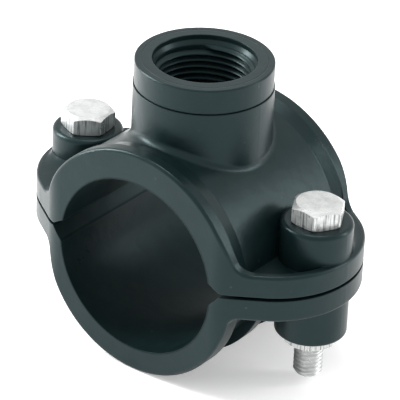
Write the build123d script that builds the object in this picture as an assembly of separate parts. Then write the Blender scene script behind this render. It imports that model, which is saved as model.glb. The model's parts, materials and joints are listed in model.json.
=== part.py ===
from build123d import *
import math
import os

# Tapping saddle for a 50 mm pipe with a G 3/4 threaded outlet.
# Millimetres. The origin is the centre of the pipe bore, +Y runs along the pipe,
# +X points to the right-hand bolt and +Z up the outlet branch.

# Pipe bore and the split between the two halves
pipeDiameter = 50.0
pipeClearance = 0.1          # radial room around the pipe before the bolts are tightened
bodyLength = 55.4            # along the pipe
splitHeight = 2.2            # middle of the gap, above the bore axis
splitGap = 1.0
splitChamfer = 3.2           # opens the bore at the split so the pipe snaps in
upperChamferHeight = 2.0
lowerChamferHeight = 3.6

# Flanges (ears) that carry the bolts
boltSpacing = 78.2
earReach = 49.6              # from the bore axis to the end of an ear
earSetBack = 2.2             # how far the curve of an ear stays inside the end faces
earRadius = bodyLength / 2 - earSetBack
endFaceReach = 28.5          # half width of the flat end faces
earBlend = 9.0               # rounds the corner between an end face and an ear
upperFlangeThickness = 6.2
lowerFlangeThickness = 6.4
rimWidth = 2.2               # raised rim left around the pocket of the upper ear
rimHeight = 2.6              # how far the rim stands over the pocket floor
rimDraft = 38.0              # slope of the rim's inner wall, degrees
edgeRound = 0.9

# Outer form of the two shells
upperWall = 8.6              # over the top of the bore, at the end plates
upperPlateRadius = 33.0
upperPlateWidth = 3.6
waistDepth = 0.9             # how far the shell between the end plates lies back
waistRamp = 4.0
flankFillet = 4.5            # where an end plate runs out into the ear
lowerFlankFillet = 2.4
lowerWall = 7.0
lowerPlateRadius = 30.8
lowerCoreWall = 3.6
lowerPlateWidth = 6.0
lowerRibWidth = 4.0
lowerRibCount = 2
lowerPocketMargin = 3.5      # flange left outside the lower pockets

# Bolt bosses
bossRadius = 9.8
upperBossHeight = 8.8        # above the rim of the ear
lowerBossHeight = 11.4       # below the lower flange
bossRound = 1.3
lowerBossRound = 0.9

# Outlet branch
outletTop = 51.7             # above the bore axis
branchRadius = 18.95
ringHeight = 7.1
ringRadius = 18.7
ringWall = 1.9
ringFit = 0.02               # press fit, as drawn
branchFillet = 2.0
threadMajor = 26.44          # G 3/4
threadDepth = 15.5
threadWall = 0.1             # left between the thread crests and the bored wall
mouthRadius = 14.05
mouthDepth = 2.6
mouthTaper = 1.2
tapRadius = 11.6             # passage that is drilled through into the pipe

# Seal ring let into the bore around the outlet
sealInner = 14.6
sealOuter = 19.0
sealDepth = 2.4
sealClearance = 0.1

# M8 fasteners
boltRadius = 4.0
boltLength = 47.4
boltHole = 4.5
headAcrossFlats = 13.0
headHeight = 5.3
nutHeight = 6.5
nutStandOut = 3.3            # below the lower boss
nutClearance = 0.15
threadRunning = 0.06         # nut bore to bolt
boltEndChamfer = 0.9
hexCrown = 30.0              # crown angle of the hexagon corners, degrees
leftHeadTurn = 36.8
rightHeadTurn = 57.7

boreRadius = pipeDiameter / 2 + pipeClearance
endY = bodyLength / 2
boltX = boltSpacing / 2
upperFace = splitHeight + splitGap / 2
lowerFace = splitHeight - splitGap / 2
rimTop = upperFace + upperFlangeThickness
pocketFloor = rimTop - rimHeight
flangeBottom = lowerFace - lowerFlangeThickness
bossTop = rimTop + upperBossHeight
bossBottom = flangeBottom - lowerBossHeight
nutBottom = bossBottom - nutStandOut
upperTop = boreRadius + upperWall
lowerBottom = -(boreRadius + lowerWall)


def alongPipe(radius, centreHeight, length=bodyLength):
    """Cylinder with its axis along the pipe, its centre line at a given height."""
    return Pos(0, 0, centreHeight) * Rot(90, 0, 0) * Cylinder(radius, length)


def earPlan(inset):
    """Outline of the halves seen from above: straight end faces drawn in to two round ears."""
    block = Rectangle(2 * endFaceReach, bodyLength)
    ears = [Pos(side * (earReach - earRadius), 0) * Circle(earRadius) for side in (-1, 1)]
    plan = make_hull(block.edges() + ears[0].edges() + ears[1].edges())
    corners = plan.vertices().filter_by(lambda corner: abs(abs(corner.Y) - endY) < 0.01)
    plan = fillet(corners, earBlend)
    return plan if inset == 0 else offset(plan, -inset, kind=Kind.INTERSECTION)


def onOutline(point):
    """True for a point on the upright side wall that the ear plan draws."""
    return earOutline.distance_to(Vertex(point.X, point.Y, 0)) < 0.01


def prism(outline, bottom, top):
    return extrude(Pos(0, 0, bottom) * outline, top - bottom)


def postsAtBolts(radius, bottom, top):
    return [Pos(side * boltX, 0, (bottom + top) / 2) * Cylinder(radius, top - bottom)
            for side in (-1, 1)]


def hexPrism(acrossFlats, bottom, height, turn, crownTop=True, crownBottom=False):
    """Hexagon whose corners are turned off to a cone at one or both ends."""
    body = extrude(Pos(0, 0, bottom) * Rot(0, 0, turn) *
                   RegularPolygon(acrossFlats / 2, 6, major_radius=False), height)
    cornerRadius = acrossFlats / 2 / math.cos(math.radians(30))
    faceRadius = acrossFlats / 2 * 0.97
    drop = (cornerRadius - faceRadius) * math.tan(math.radians(hexCrown))
    outline = [(0, bottom)]
    outline += [(faceRadius, bottom), (cornerRadius, bottom + drop)] if crownBottom \
        else [(cornerRadius, bottom)]
    outline += [(cornerRadius, bottom + height - drop), (faceRadius, bottom + height)] \
        if crownTop else [(cornerRadius, bottom + height)]
    outline += [(0, bottom + height)]
    turned = revolve(make_face(Plane.XZ * Polyline(*outline, close=True)), Axis.Z)
    return body & turned


def flankBlend(radius, centreHeight, level, bend):
    """Hollow fillets that lead a shell's flanks out onto the ears at a level."""
    up = 1 if level > centreHeight else -1
    bendZ = level + up * bend
    bendX = math.sqrt((radius + bend) ** 2 - (bendZ - centreHeight) ** 2)
    share = radius / (radius + bend)
    touchZ = centreHeight + (bendZ - centreHeight) * share
    outline = [(0, level - up), (bendX, level - up), (bendX, level), (bendX * share, touchZ),
               (0, touchZ)]
    side = extrude(make_face(Plane.XZ * Polyline(*outline, close=True)), endY, both=True)
    side -= Pos(bendX, 0, bendZ) * Rot(90, 0, 0) * Cylinder(bend, bodyLength + 2)
    return side + mirror(side, Plane.YZ)


def splitWedge(face, depth):
    """Wedges that open the bore on both sides of the split."""
    reach = math.sqrt(boreRadius ** 2 - face ** 2)
    inner = reach - 6
    outline = [(inner, face), (reach + splitChamfer, face), (reach, face + depth),
               (inner, face + depth)]
    right = extrude(make_face(Plane.XZ * Polyline(*outline, close=True)), endY + 1, both=True)
    return [right, mirror(right, Plane.YZ)]


earOutline = earPlan(0).wire()

# Upper half -----------------------------------------------------------------
plateCentre = upperTop - upperPlateRadius
shell = alongPipe(upperPlateRadius, plateCentre)
envelope = prism(earPlan(0), upperFace, upperTop + 1)
upper = (shell + flankBlend(upperPlateRadius, plateCentre, rimTop, flankFillet)) & envelope
upper += prism(earPlan(0), upperFace, rimTop)
upper = fillet(upper.edges().filter_by(lambda edge: onOutline(edge @ 0.5)
                                       and (edge @ 0.5).Z > upperFace + 1), edgeRound)

pocketCut = extrude(Pos(0, 0, rimTop) * earPlan(rimWidth), -rimHeight, taper=rimDraft)
pocketCut += prism(earPlan(rimWidth), rimTop, upperTop + 2)
waistEnd = endY - upperPlateWidth
waist = [(0, endY + 1), (upperPlateRadius, endY + 1), (upperPlateRadius, waistEnd),
         (upperPlateRadius - waistDepth, waistEnd - waistRamp)]
waist += [(radius, -y) for radius, y in reversed(waist)]
core = Pos(0, 0, plateCentre) * revolve(make_face(Polyline(*waist, close=True)), Axis.Y)
pocketCut -= core
for post in postsAtBolts(bossRadius, pocketFloor, bossTop):
    pocketCut -= post
upper -= pocketCut
for post in postsAtBolts(bossRadius, upperFace, bossTop):
    rounded = fillet(post.edges().sort_by(Axis.Z)[-1], bossRound)
    upper += rounded

branch = Pos(0, 0, outletTop / 2) * Cylinder(branchRadius, outletTop)
upper += branch
foot = upper.edges().filter_by(GeomType.BSPLINE).filter_by(
    lambda edge: abs(math.hypot((edge @ 0.25).X, (edge @ 0.25).Y) - branchRadius) < 0.01)
upper = fillet(foot, branchFillet)

spigotRadius = ringRadius - ringWall
ringBottom = outletTop - ringHeight
upper -= Pos(0, 0, ringBottom + ringHeight / 2) * (
    Cylinder(branchRadius + 5, ringHeight) - Cylinder(spigotRadius, ringHeight))
for postHole in postsAtBolts(boltHole, upperFace - 1, bossTop + 1):
    upper -= postHole
upper -= alongPipe(boreRadius, 0, bodyLength + 2)
for wedge in splitWedge(upperFace, upperChamferHeight):
    upper -= wedge
upper -= Pos(0, 0, outletTop / 2) * Cylinder(tapRadius, outletTop + 1)
threadBore = threadMajor / 2 + threadWall
upper -= Pos(0, 0, outletTop - mouthDepth - threadDepth / 2) * Cylinder(threadBore, threadDepth)
mouth = [(0, outletTop - mouthDepth), (threadBore, outletTop - mouthDepth),
         (mouthRadius, outletTop - mouthDepth + mouthTaper), (mouthRadius, outletTop + 1),
         (0, outletTop + 1)]
upper -= revolve(make_face(Plane.XZ * Polyline(*mouth, close=True)), Axis.Z)
sealSeat = prism(Circle(sealOuter) - Circle(sealInner), 0, upperTop)
upper -= sealSeat & (alongPipe(boreRadius + sealDepth, 0) - alongPipe(boreRadius - 1, 0))

ring = Pos(0, 0, ringBottom + ringHeight / 2) * (
    Cylinder(ringRadius, ringHeight) - Cylinder(spigotRadius + ringFit, ringHeight))
ring = chamfer(ring.edges().filter_by(GeomType.CIRCLE).sort_by(SortBy.RADIUS)[-2:], 0.3)

seal = prism(Circle(sealOuter - sealClearance) - Circle(sealInner + sealClearance), 0, upperTop)
seal &= alongPipe(boreRadius + sealDepth, 0) - alongPipe(boreRadius, 0)

# Lower half -----------------------------------------------------------------
lowerCentre = lowerBottom + lowerPlateRadius
lowerShell = alongPipe(lowerPlateRadius, lowerCentre)
lowerShell += flankBlend(lowerPlateRadius, lowerCentre, flangeBottom, lowerFlankFillet)
lower = lowerShell & prism(earPlan(0), lowerBottom - 1, lowerFace)
lower += prism(earPlan(0), flangeBottom, lowerFace)
lower = fillet(lower.edges().filter_by(lambda edge: onOutline(edge @ 0.5)
                                       and (edge @ 0.5).Z < lowerFace - 1), edgeRound)
bayCount = lowerRibCount + 1
bayLength = (bodyLength - 2 * lowerPlateWidth - lowerRibCount * lowerRibWidth) / bayCount
bayOuter = Pos(0, 0, lowerBottom) * Box(2 * earReach, bayLength, 2 * (flangeBottom - lowerBottom))
bay = bayOuter - alongPipe(boreRadius + lowerCoreWall, 0)
for place in range(bayCount):
    y = (place - (bayCount - 1) / 2) * (bayLength + lowerRibWidth)
    lower -= Pos(0, y, 0) * bay
for post in postsAtBolts(bossRadius, bossBottom, lowerFace):
    lower += fillet(post.edges().sort_by(Axis.Z)[0], lowerBossRound)
lower -= alongPipe(boreRadius, 0, bodyLength + 2)
for wedge in splitWedge(lowerFace, -lowerChamferHeight):
    lower -= wedge
for postHole in postsAtBolts(boltHole, bossBottom - 1, lowerFace + 1):
    lower -= postHole
for side in (-1, 1):
    pocket = hexPrism(headAcrossFlats + 2 * nutClearance, nutBottom, nutHeight, 0, False)
    lower -= Pos(side * boltX, 0, 0) * pocket


def bolt(turn):
    head = hexPrism(headAcrossFlats, bossTop, headHeight, turn)
    shank = Pos(0, 0, bossTop - boltLength / 2) * Cylinder(boltRadius, boltLength)
    shank = chamfer(shank.edges().sort_by(Axis.Z)[0], boltEndChamfer)
    return head + shank


def nut():
    body = hexPrism(headAcrossFlats, nutBottom, nutHeight, 0, True, True)
    return body - Pos(0, 0, nutBottom + nutHeight / 2) * Cylinder(
        boltRadius + threadRunning, nutHeight + 1)


os.makedirs("parts", exist_ok=True)
export_step(upper, "parts/upper_saddle.step")
export_step(lower, "parts/lower_saddle.step")
export_step(ring, "parts/outlet_ring.step")
export_step(seal, "parts/outlet_seal.step")
export_step(Pos(-boltX, 0, 0) * bolt(leftHeadTurn), "parts/bolt_left.step")
export_step(Pos(boltX, 0, 0) * bolt(rightHeadTurn), "parts/bolt_right.step")
export_step(Pos(-boltX, 0, 0) * nut(), "parts/nut_left.step")
export_step(Pos(boltX, 0, 0) * nut(), "parts/nut_right.step")
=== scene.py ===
import json
import math

import bpy
from mathutils import Matrix, Vector


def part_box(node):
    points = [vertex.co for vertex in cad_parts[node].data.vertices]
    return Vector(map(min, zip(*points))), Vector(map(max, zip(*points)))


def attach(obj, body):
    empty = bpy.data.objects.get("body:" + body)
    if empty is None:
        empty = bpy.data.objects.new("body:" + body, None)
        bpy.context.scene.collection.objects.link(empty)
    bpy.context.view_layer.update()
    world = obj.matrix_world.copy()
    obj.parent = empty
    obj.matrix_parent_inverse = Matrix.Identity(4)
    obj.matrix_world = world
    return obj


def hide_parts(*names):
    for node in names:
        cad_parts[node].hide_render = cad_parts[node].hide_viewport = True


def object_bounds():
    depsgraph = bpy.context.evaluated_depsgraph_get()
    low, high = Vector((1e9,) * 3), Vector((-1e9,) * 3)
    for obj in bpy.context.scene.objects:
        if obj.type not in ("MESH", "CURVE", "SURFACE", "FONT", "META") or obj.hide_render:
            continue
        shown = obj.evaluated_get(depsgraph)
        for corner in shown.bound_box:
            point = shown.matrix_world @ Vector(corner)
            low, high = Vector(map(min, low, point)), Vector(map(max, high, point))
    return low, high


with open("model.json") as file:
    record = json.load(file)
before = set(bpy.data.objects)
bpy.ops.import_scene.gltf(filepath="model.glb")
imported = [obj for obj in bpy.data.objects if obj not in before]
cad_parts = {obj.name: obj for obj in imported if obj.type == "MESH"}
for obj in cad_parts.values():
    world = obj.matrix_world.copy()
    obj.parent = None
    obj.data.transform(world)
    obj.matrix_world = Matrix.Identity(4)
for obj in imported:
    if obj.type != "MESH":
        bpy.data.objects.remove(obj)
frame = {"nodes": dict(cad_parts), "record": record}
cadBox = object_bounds()
mm = 0.001
mounts = {mount["name"]: mount for mount in frame["record"]["mounts"]}
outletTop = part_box("outlet_ring")[1][2]
print("frame loaded, outlet top at", round(outletTop / mm, 1), "mm")


# helpers for node materials: each returns a socket that the next one takes

def newMaterial(name):
    material = bpy.data.materials.new(name)
    material.use_nodes = True
    tree = material.node_tree
    tree.nodes.clear()
    shader = tree.nodes.new("ShaderNodeBsdfPrincipled")
    output = tree.nodes.new("ShaderNodeOutputMaterial")
    tree.links.new(shader.outputs["BSDF"], output.inputs["Surface"])
    return material, tree, shader


def objectPlace(tree, stretch=(1, 1, 1)):
    place = tree.nodes.new("ShaderNodeTexCoord").outputs["Object"]
    mapping = tree.nodes.new("ShaderNodeMapping")
    mapping.inputs["Scale"].default_value = stretch
    tree.links.new(place, mapping.inputs["Vector"])
    return mapping.outputs["Vector"]


def noiseAt(tree, place, scale, detail=4, roughness=0.5):
    noise = tree.nodes.new("ShaderNodeTexNoise")
    noise.inputs["Scale"].default_value = scale
    noise.inputs["Detail"].default_value = detail
    noise.inputs["Roughness"].default_value = roughness
    tree.links.new(place, noise.inputs["Vector"])
    return noise.outputs["Fac"]


def remapped(tree, value, low, high, toLow=0.0, toHigh=1.0):
    remap = tree.nodes.new("ShaderNodeMapRange")
    for name, number in (("From Min", low), ("From Max", high), ("To Min", toLow), ("To Max", toHigh)):
        remap.inputs[name].default_value = number
    tree.links.new(value, remap.inputs["Value"])
    return remap.outputs["Result"]


def mixedColour(tree, factor, first, second):
    # each colour is four numbers or a socket; the Mix node keeps its colour sockets at these places
    firstSocket, secondSocket, resultSocket = 6, 7, 2
    mix = tree.nodes.new("ShaderNodeMix")
    mix.data_type = "RGBA"
    tree.links.new(factor, mix.inputs["Factor"])
    for place, colour in ((firstSocket, first), (secondSocket, second)):
        if isinstance(colour, tuple):
            mix.inputs[place].default_value = colour
        else:
            tree.links.new(colour, mix.inputs[place])
    return mix.outputs[resultSocket]


def combined(tree, operation, first, second):
    # a Math node over two sockets
    node = tree.nodes.new("ShaderNodeMath")
    node.operation = operation
    tree.links.new(first, node.inputs[0])
    tree.links.new(second, node.inputs[1])
    return node.outputs[0]


def bumpOn(tree, height, distance, before=None):
    bump = tree.nodes.new("ShaderNodeBump")
    bump.inputs["Distance"].default_value = distance
    tree.links.new(height, bump.inputs["Height"])
    if before is not None:
        tree.links.new(before, bump.inputs["Normal"])
    return bump.outputs["Normal"]


def specksAt(tree, place, scale, size):
    cells = tree.nodes.new("ShaderNodeTexVoronoi")
    cells.inputs["Scale"].default_value = scale
    tree.links.new(place, cells.inputs["Vector"])
    return remapped(tree, cells.outputs["Distance"], size, 0.0)


# moulded plastic, with faint flow mottle, fine mould grain and a few dust specks

plasticLook = {
    "colour": (0.0033, 0.0094, 0.0102, 1),
    "flowColour": (0.0062, 0.0140, 0.0148, 1),
    "speckColour": (0.060, 0.070, 0.070, 1),
    "flowScale": 65, "flowSoftness": 0.62, "flowSpan": (0.36, 0.66),
    "swirlScale": 210, "grainScale": 3200, "grainSoftness": 0.6,
    "roughness": (0.27, 0.37), "roughnessSpan": (0.3, 0.7),
    "swirlHeight": 0.09 * mm, "grainHeight": 0.018 * mm, "speckHeight": 0.03 * mm,
    "speckScale": 130, "speckSize": 0.06, "speckShare": 0.5,
    "specular": 0.27, "sheenTint": (0.70, 1.0, 1.04, 1), "edgeRound": 0.45 * mm, "edgeSamples": 6,
    "hollowReach": 34 * mm, "hollowSamples": 8, "hollowLevel": 0.12, "openLevel": 0.45,
    "boreRadius": 25.1 * mm, "boreMargin": (0.2 * mm, 0.6 * mm), "boreSheenInPaintedShade": 0.34,
}


def mouldedPlastic(name, look):
    material, tree, shader = newMaterial(name)
    place = objectPlace(tree)
    flow = noiseAt(tree, place, look["flowScale"], 5, look["flowSoftness"])
    specks = specksAt(tree, place, look["speckScale"], look["speckSize"])
    colour = mixedColour(tree, remapped(tree, flow, *look["flowSpan"]),
                         look["colour"], look["flowColour"])
    colour = mixedColour(tree, remapped(tree, specks, 0.0, 1.0, 0.0, look["speckShare"]),
                         colour, look["speckColour"])
    tree.links.new(colour, shader.inputs["Base Color"])
    tree.links.new(remapped(tree, flow, *look["roughnessSpan"], *look["roughness"]),
                   shader.inputs["Roughness"])
    # painted shade: an ambient-occlusion mask cuts the sheen in deep places, so hollows and recesses
    # read darker than open faces
    hollow = tree.nodes.new("ShaderNodeAmbientOcclusion")
    hollow.samples = look["hollowSamples"]
    hollow.inputs["Distance"].default_value = look["hollowReach"]
    sheenWithPaintedShade = remapped(tree, hollow.outputs["AO"], look["hollowLevel"], look["openLevel"],
                         0.0, look["specular"])
    # painted shade inside the pipe bore: the sheen is cut down where the surface lies within one
    # radius of the pipe's axis
    fromAxis = tree.nodes.new("ShaderNodeVectorMath")
    fromAxis.operation = "LENGTH"
    tree.links.new(objectPlace(tree, (1, 0, 1)), fromAxis.inputs[0])
    inner, outer = (look["boreRadius"] + margin for margin in look["boreMargin"])
    paintedBoreShade = remapped(tree, fromAxis.outputs["Value"], inner, outer, look["boreSheenInPaintedShade"], 1.0)
    tree.links.new(combined(tree, "MULTIPLY", sheenWithPaintedShade, paintedBoreShade),
                   shader.inputs["Specular IOR Level"])
    shader.inputs["Specular Tint"].default_value = look["sheenTint"]
    rounded = tree.nodes.new("ShaderNodeBevel")
    rounded.samples = look["edgeSamples"]
    rounded.inputs["Radius"].default_value = look["edgeRound"]
    swirl = bumpOn(tree, noiseAt(tree, place, look["swirlScale"], 3), look["swirlHeight"],
                   rounded.outputs["Normal"])
    dust = bumpOn(tree, specks, look["speckHeight"], swirl)
    grain = bumpOn(tree, noiseAt(tree, place, look["grainScale"], 3, look["grainSoftness"]),
                   look["grainHeight"], dust)
    tree.links.new(grain, shader.inputs["Normal"])
    return material


# nitrile rubber of the seal

rubberLook = {
    "colour": (0.010, 0.010, 0.011, 1), "paleColour": (0.020, 0.020, 0.021, 1),
    "roughness": (0.55, 0.75), "roughnessSpan": (0.3, 0.7),
    "grainScale": 1800, "grainHeight": 0.02 * mm, "grainSoftness": 0.6, "bloomScale": 150,
}


def sealRubber(name, look):
    material, tree, shader = newMaterial(name)
    place = objectPlace(tree)
    grain = noiseAt(tree, place, look["grainScale"], 4, look["grainSoftness"])
    bloom = noiseAt(tree, place, look["bloomScale"], 4, look["grainSoftness"])
    tree.links.new(mixedColour(tree, bloom, look["colour"], look["paleColour"]),
                   shader.inputs["Base Color"])
    tree.links.new(remapped(tree, grain, *look["roughnessSpan"], *look["roughness"]),
                   shader.inputs["Roughness"])
    tree.links.new(bumpOn(tree, grain, look["grainHeight"]), shader.inputs["Normal"])
    return material


# zinc plate: clear and slightly dull, with drawn streaks down the upright faces

zincLook = {
    "colour": (0.66, 0.67, 0.66, 1), "dullColour": (0.45, 0.47, 0.47, 1),
    "roughness": (0.24, 0.40), "roughnessSpan": (0.3, 0.7), "metallic": 0.60,
    "patchScale": 420, "patchSoftness": 0.6, "patchSpan": (0.42, 0.75),
    "streakStretch": (1, 1, 0.05), "streakScale": 1900, "streakSoftness": 0.55,
    "streakHeight": 0.06 * mm, "streakSpan": (0.51, 0.60), "streakDepth": 0.9,
    "streakColour": (0.16, 0.18, 0.18, 1), "uprightSpan": (0.3, 0.1),
    "pitScale": 900, "pitSoftness": 0.6, "pitHeight": 0.012 * mm,
}


def zincPlate(name, look):
    material, tree, shader = newMaterial(name)
    place = objectPlace(tree)
    patch = noiseAt(tree, place, look["patchScale"], 5, look["patchSoftness"])
    streak = noiseAt(tree, objectPlace(tree, look["streakStretch"]), look["streakScale"], 3,
                     look["streakSoftness"])
    shader.inputs["Metallic"].default_value = look["metallic"]
    plating = mixedColour(tree, remapped(tree, patch, *look["patchSpan"]),
                          look["colour"], look["dullColour"])
    # the streaks only darken upright faces
    upright = tree.nodes.new("ShaderNodeSeparateXYZ")
    tree.links.new(tree.nodes.new("ShaderNodeNewGeometry").outputs["Normal"], upright.inputs[0])
    lean = tree.nodes.new("ShaderNodeMath")
    lean.operation = "ABSOLUTE"
    tree.links.new(upright.outputs["Z"], lean.inputs[0])
    marks = combined(tree, "MULTIPLY", remapped(tree, lean.outputs[0], *look["uprightSpan"]),
                     remapped(tree, streak, *look["streakSpan"], 0.0, look["streakDepth"]))
    tree.links.new(mixedColour(tree, marks, plating, look["streakColour"]),
                   shader.inputs["Base Color"])
    tree.links.new(remapped(tree, patch, *look["roughnessSpan"], *look["roughness"]),
                   shader.inputs["Roughness"])
    drawn = bumpOn(tree, streak, look["streakHeight"])
    pits = noiseAt(tree, place, look["pitScale"], 4, look["pitSoftness"])
    tree.links.new(bumpOn(tree, pits, look["pitHeight"], drawn), shader.inputs["Normal"])
    return material


blackPlastic = mouldedPlastic("moulded_black_plastic", plasticLook)
blackRubber = sealRubber("nitrile_seal_rubber", rubberLook)
brightZinc = zincPlate("bright_zinc_plate", zincLook)
finishes = {"upper_saddle": blackPlastic, "lower_saddle": blackPlastic, "outlet_ring": blackPlastic,
            "outlet_seal": blackRubber, "nut_left": brightZinc, "nut_right": brightZinc}
for nodeName, finish in finishes.items():
    mesh = frame["nodes"][nodeName].data
    mesh.materials.clear()
    mesh.materials.append(finish)
print("finishes made")


# shared mesh work: a piece is rings with equal counts of points, joined row by row

def meshFromRings(name, rings, material, closeEnds=True, climb=0, climbRows=(0, 0)):
    # rows between climbRows wind like a thread: each meets the row one pitch above it at the seam
    count = len(rings[0])
    points = [point for ring in rings for point in ring]
    faces = []
    for row in range(len(rings) - 1):
        for step in range(count - 1):
            a = row * count + step
            faces.append((a, a + 1, a + 1 + count, a + count))
        winds = climbRows[0] <= row < climbRows[1]
        shift = climb if winds else 0
        if not winds or row + shift < climbRows[1]:
            a, b = row * count + count - 1, (row + shift) * count
            faces.append((a, b, b + count, a + count))
    if closeEnds:
        faces.append(tuple(reversed(range(count))))
        faces.append(tuple(range((len(rings) - 1) * count, len(rings) * count)))
    mesh = bpy.data.meshes.new(name)
    mesh.from_pydata(points, [], faces)
    mesh.validate()
    mesh.materials.append(material)
    piece = bpy.data.objects.new(name, mesh)
    bpy.context.collection.objects.link(piece)
    return piece


def smoothTo(piece, degrees):
    bpy.ops.object.select_all(action="DESELECT")
    piece.select_set(True)
    bpy.context.view_layer.objects.active = piece
    bpy.ops.object.shade_smooth_by_angle(angle=math.radians(degrees))


def clamped(value, low=0.0, high=1.0):
    return min(high, max(low, value))


threadProfile = {"rootFlat": 0.12, "flank": 0.76}  # shares of half a pitch


def threadHeight(turn):
    # height of a thread with flat roots and crests, 0 at the root and 1 at the crest
    part = turn % 1.0
    wave = min(part, 1 - part) * 2
    return clamped((wave - threadProfile["rootFlat"]) / threadProfile["flank"])


# hexagon bolts

boltLook = {
    "acrossFlats": 13.0 * mm, "crownCircle": 0.90, "crownSlope": 30, "seatCircle": 0.96,
    "seatRise": 0.25 * mm, "seatFlare": 0.55, "cornerRise": 0.35, "innerRing": 0.5,
    "edge": 0.12 * mm, "edgeSide": 0.6, "edgeTop": 0.8, "headSmooth": 18,
    "threadPitch": 1.25 * mm, "threadDepth": 0.70 * mm, "threadedLength": 26 * mm,
    "endPoint": 1.0 * mm, "endSlope": 0.9, "shankRadius": 4.0 * mm, "shankOverlap": 0.2 * mm,
    "shankSmooth": 40, "around": 96, "perPitch": 12, "headHeight": 5.3 * mm,
    "turn": {"bolt_left": 36.8, "bolt_right": 57.7},
}


def hexReach(angle, acrossFlats):
    return acrossFlats / 2 / math.cos((angle % (math.pi / 3)) - math.pi / 6)


def makeHexBolt(name, node, look):
    low, high = (Vector(corner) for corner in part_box(node))
    centre = (low + high) / 2
    seat = high.z - look["headHeight"]
    shankRadius, edge = look["shankRadius"], look["edge"]
    flat = look["acrossFlats"] / 2
    crown = flat * look["crownCircle"]
    slope = math.tan(math.radians(look["crownSlope"]))
    around = look["around"]
    turn = math.radians(look["turn"][node])
    angles = [2 * math.pi * step / around for step in range(around)]

    def ring(radiusAt, heightAt):
        return [(centre.x + radiusAt(a) * math.cos(a + turn),
                 centre.y + radiusAt(a) * math.sin(a + turn), heightAt(a)) for a in angles]

    def reachAt(a):
        return hexReach(a, look["acrossFlats"])

    def crownDrop(radius):
        return max(0.0, radius - crown) * slope

    # from the seat on the boss, up the hexagon and in over the crown
    rings = [
        ring(lambda a: shankRadius, lambda a: seat),
        ring(lambda a: flat * look["seatCircle"], lambda a: seat),
        ring(lambda a: min(reachAt(a), flat + (reachAt(a) - flat) * look["seatFlare"] + edge),
             lambda a: seat + look["seatRise"] / 2),
        ring(reachAt, lambda a: seat + look["seatRise"] + (reachAt(a) - flat) * look["cornerRise"]),
        ring(reachAt, lambda a: high.z - crownDrop(reachAt(a)) - edge),
        ring(lambda a: reachAt(a) - edge * look["edgeSide"],
             lambda a: high.z - crownDrop(reachAt(a))),
        ring(lambda a: crown + edge, lambda a: high.z - edge * slope * look["edgeTop"]),
        ring(lambda a: crown - edge, lambda a: high.z),
        ring(lambda a: crown * look["innerRing"], lambda a: high.z),
    ]
    head = meshFromRings(name + "_head", rings, brightZinc)
    smoothTo(head, look["headSmooth"])

    # the shank: rows that climb with the thread, then plain up to the head
    pitch, rows = look["threadPitch"], look["perPitch"]
    bottom, plainEnd = low.z, low.z + look["threadedLength"]
    shankRings = []
    for row in range(math.ceil((look["threadedLength"] / pitch + 1) * rows) + 1):
        points = []
        for step, a in enumerate(angles):
            height = bottom - pitch + row * pitch / rows + pitch * step / around
            height = clamped(height, bottom, plainEnd)
            crest = threadHeight((height - bottom) / pitch - step / around)
            fade = clamped((plainEnd - height) / pitch)
            radius = shankRadius - look["threadDepth"] * (1 - crest) * fade
            point = shankRadius - look["endPoint"] + (height - bottom) * look["endSlope"]
            radius = min(radius, point)
            points.append((centre.x + radius * math.cos(a), centre.y + radius * math.sin(a), height))
        shankRings.append(points)
    lastRow = len(shankRings) - 1
    shankRings.append([(centre.x + shankRadius * math.cos(a), centre.y + shankRadius * math.sin(a),
                        seat + look["shankOverlap"]) for a in angles])
    shank = meshFromRings(name + "_shank", shankRings, brightZinc, climb=rows,
                          climbRows=(0, lastRow))
    smoothTo(shank, look["shankSmooth"])
    for piece in (head, shank):
        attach(piece, node)
    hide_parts(node)


makeHexBolt("hex_bolt_left", "bolt_left", boltLook)
makeHexBolt("hex_bolt_right", "bolt_right", boltLook)
print("bolts made")


# pipe thread inside the outlet, a sleeve that lines the plain bore of the branch

outletThread = {
    "pitch": 1.814 * mm, "depth": 0.98 * mm, "around": 144, "perPitch": 12,
    "startAngle": 127, "firstRidge": 0.42, "runIn": 0.03, "backing": 0.01 * mm,
    "rootWall": 0.09 * mm, "smooth": 50,
}


def makeOutletThread(look):
    mount = mounts["outlet"]
    middle = Vector(mount["pos_m"])
    length = mount["dims"]["length_mm"] * mm
    wall = mount["dims"]["r_mm"] * mm - look["backing"]
    root = wall - look["rootWall"]
    low, high = middle.z - length / 2, middle.z + length / 2
    pitch, rows, around = look["pitch"], look["perPitch"], look["around"]
    start = math.radians(look["startAngle"])
    angles = [start + 2 * math.pi * step / around for step in range(around)]
    rings = [[(wall * math.cos(a), wall * math.sin(a), low) for a in angles]]
    for row in range(math.ceil((length / pitch + 1) * rows) + 1):
        points = []
        for step, a in enumerate(angles):
            height = low - pitch + row * pitch / rows + pitch * step / around
            height = clamped(height, low, high)
            turns = (high - height) / pitch + step / around + 0.5 - look["firstRidge"]
            crest = threadHeight(turns)  # a crest lies half a turn past a root
            runIn = clamped((math.floor(turns) - step / around) / look["runIn"])
            radius = root - look["depth"] * crest * runIn
            points.append((radius * math.cos(a), radius * math.sin(a), height))
        rings.append(points)
    rings.append([(wall * math.cos(a), wall * math.sin(a), high) for a in angles])
    lastRow = len(rings) - 2
    rings.append(rings[0])
    sleeve = meshFromRings("outlet_pipe_thread", rings, blackPlastic, closeEnds=False,
                           climb=rows, climbRows=(1, lastRow))
    smoothTo(sleeve, look["smooth"])
    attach(sleeve, "upper")


makeOutletThread(outletThread)
print("outlet thread made")


# soft shoulder between boss and rim, on the side of each ear that has no pocket

earShoulder = {
    "bossRadius": 9.75 * mm, "earCurve": 25.5 * mm, "edgeInset": 0.95 * mm, "tangent": 56.4,
    "rimTop": 8.905 * mm, "bottom": 6.0 * mm, "rise": 1.8 * mm, "riseShape": 2.6,
    "riseFade": 2 * mm, "least": 0.01 * mm, "shellReach": 26 * mm, "plateReach": 23 * mm,
    "from": 12, "to": 150, "steps": 60, "across": 14, "smooth": 40,
}


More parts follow.
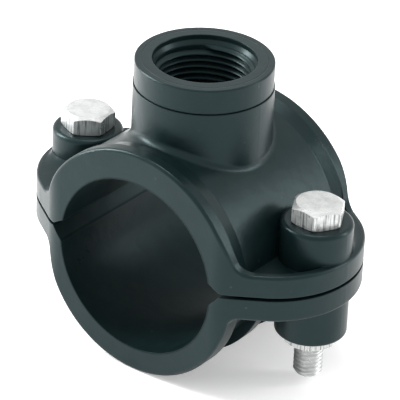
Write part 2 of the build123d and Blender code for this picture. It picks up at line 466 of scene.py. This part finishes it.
def shoulderReach(angle, boltReach, earEnd, look):
    # how far a ray from the bolt's axis runs before it meets the ear's edge, shell or end plate
    along, sideways = math.cos(angle), math.sin(angle)
    slight = 0.1  # a ray this close to parallel never meets the plate or shell
    curve = look["earCurve"] - look["edgeInset"]
    offset = boltReach - (earEnd - look["earCurve"])
    reach = -offset * along + math.sqrt(curve ** 2 - (offset * sideways) ** 2)
    tangent = math.radians(look["tangent"])
    if math.atan2(reach * sideways, offset + reach * along) > tangent:
        lean = along * math.cos(tangent) + sideways * math.sin(tangent)
        reach = (curve - offset * math.cos(tangent)) / lean
    if sideways > slight:
        reach = min(reach, look["plateReach"] / sideways)
    if along < -slight:
        reach = min(reach, (boltReach - look["shellReach"]) / -along)
    return max(reach, look["bossRadius"] + look["least"])


def makeEarShoulder(name, node, look):
    low, high = (Vector(corner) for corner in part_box(node))
    centre = (low + high) / 2
    side = 1 if centre.x > 0 else -1
    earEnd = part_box("upper_saddle")[1][0]
    rings = []
    for step in range(look["steps"] + 1):
        angle = math.radians(look["from"] + (look["to"] - look["from"]) * step / look["steps"])
        reach = shoulderReach(angle, abs(centre.x), earEnd, look)
        profile = [(look["bossRadius"], look["bottom"])]
        for part in range(look["across"] + 1):
            share = part / look["across"]
            rise = look["rise"] * (1 - share) ** look["riseShape"]
            rise *= min(1.0, (reach - look["bossRadius"]) / look["riseFade"])
            profile.append((look["bossRadius"] + (reach - look["bossRadius"]) * share,
                            look["rimTop"] + rise))
        profile.append((reach, look["bottom"]))
        rings.append([(side * (abs(centre.x) + radius * math.cos(angle)),
                       side * radius * math.sin(angle), height) for radius, height in profile])
    shoulder = meshFromRings(name, rings, blackPlastic)
    smoothTo(shoulder, look["smooth"])
    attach(shoulder, "upper")


makeEarShoulder("ear_shoulder_right", "bolt_right", earShoulder)
makeEarShoulder("ear_shoulder_left", "bolt_left", earShoulder)
print("ear shoulders made")


# floor, lamps and camera

studio = {
    "floorColour": (0.95, 0.95, 0.95, 1), "floorReach": 4.0, "floorRoughness": 0.85,
    "floorGlow": 0.32,
    "worldColour": (1, 1, 1, 1), "worldLevel": 0.95,
    "lamps": {
        "left_softbox": {"place": (-0.50, -0.20, 0.30), "size": (0.18, 0.40), "watts": 5.2},
        "right_softbox": {"place": (0.42, 0.34, 0.22), "size": (0.10, 0.4), "watts": 1.1},
        "top_softbox": {"place": (-0.10, 0.15, 0.65), "size": (0.16, 0.16), "watts": 1.0},
    },
}


def addLamp(name, look):
    lamp = bpy.data.lights.new(name, "AREA")
    lamp.shape = "RECTANGLE"
    lamp.size, lamp.size_y = look["size"]
    lamp.energy = look["watts"]
    holder = bpy.data.objects.new(name, lamp)
    holder.location = look["place"]
    holder.rotation_euler = (-Vector(look["place"])).to_track_quat("-Z", "Y").to_euler()
    bpy.context.collection.objects.link(holder)


def seenDirectly(tree):
    # 1 for the rays that show the backdrop itself: to the camera, mirrored or passed through
    path = tree.nodes.new("ShaderNodeLightPath")
    seen = path.outputs["Is Camera Ray"]
    for name in ("Is Glossy Ray", "Is Transmission Ray"):
        seen = combined(tree, "MAXIMUM", seen, path.outputs[name])
    return seen


def makeFloor(look, height):
    reach = look["floorReach"]
    mesh = bpy.data.meshes.new("studio_floor")
    mesh.from_pydata([(-reach, -reach, 0), (reach, -reach, 0), (reach, reach, 0), (-reach, reach, 0)],
                     [], [(0, 1, 2, 3)])
    floor = bpy.data.objects.new("studio_floor", mesh)
    floor.location.z = height
    bpy.context.collection.objects.link(floor)
    material, tree, shader = newMaterial("pale_floor")
    shader.inputs["Base Color"].default_value = look["floorColour"]
    shader.inputs["Roughness"].default_value = look["floorRoughness"]
    shader.inputs["Emission Color"].default_value = look["floorColour"]
    tree.links.new(remapped(tree, seenDirectly(tree), 0.0, 1.0, 0.0, look["floorGlow"]),
                   shader.inputs["Emission Strength"])
    mesh.materials.append(material)


def makeWorld(look):
    # one level lights the object; what the camera and the metal see is plain white
    world = bpy.data.worlds.new("studio_world")
    bpy.context.scene.world = world
    world.use_nodes = True
    tree = world.node_tree
    background = tree.nodes["Background"]
    background.inputs["Color"].default_value = look["worldColour"]
    tree.links.new(remapped(tree, seenDirectly(tree), 0.0, 1.0, look["worldLevel"], 1.0),
                   background.inputs["Strength"])


cameraLook = {
    "azimuth": 36.47, "elevation": 29.57, "roll": 2.58, "distance": 0.8276, "lens": 273.7,
    "across": 0.66 * mm, "upwards": 6.54 * mm, "aimHeight": 1.14 * mm, "clipStart": 0.01,
}


def makeCamera(look):
    azimuth, elevation = math.radians(look["azimuth"]), math.radians(look["elevation"])
    away = Vector((math.sin(azimuth) * math.cos(elevation), -math.cos(azimuth) * math.cos(elevation),
                   math.sin(elevation)))
    level = away.to_track_quat("Z", "Y")
    turn = level @ Matrix.Rotation(math.radians(look["roll"]), 3, "Z").to_quaternion()
    aim = Vector((0, 0, look["aimHeight"]))
    aim += turn @ Vector((look["across"], look["upwards"], 0))
    camera = bpy.data.cameras.new("camera")
    camera.lens = look["lens"]
    camera.clip_start = look["clipStart"]
    holder = bpy.data.objects.new("camera", camera)
    holder.rotation_mode = "QUATERNION"
    holder.rotation_quaternion = turn
    holder.location = aim + away * look["distance"]
    bpy.context.collection.objects.link(holder)
    bpy.context.scene.camera = holder


makeFloor(studio, cadBox[0][2])
for lampName, lampLook in studio["lamps"].items():
    addLamp(lampName, lampLook)
makeWorld(studio)
makeCamera(cameraLook)
bpy.context.scene.view_settings.view_transform = "Standard"
print("studio set")
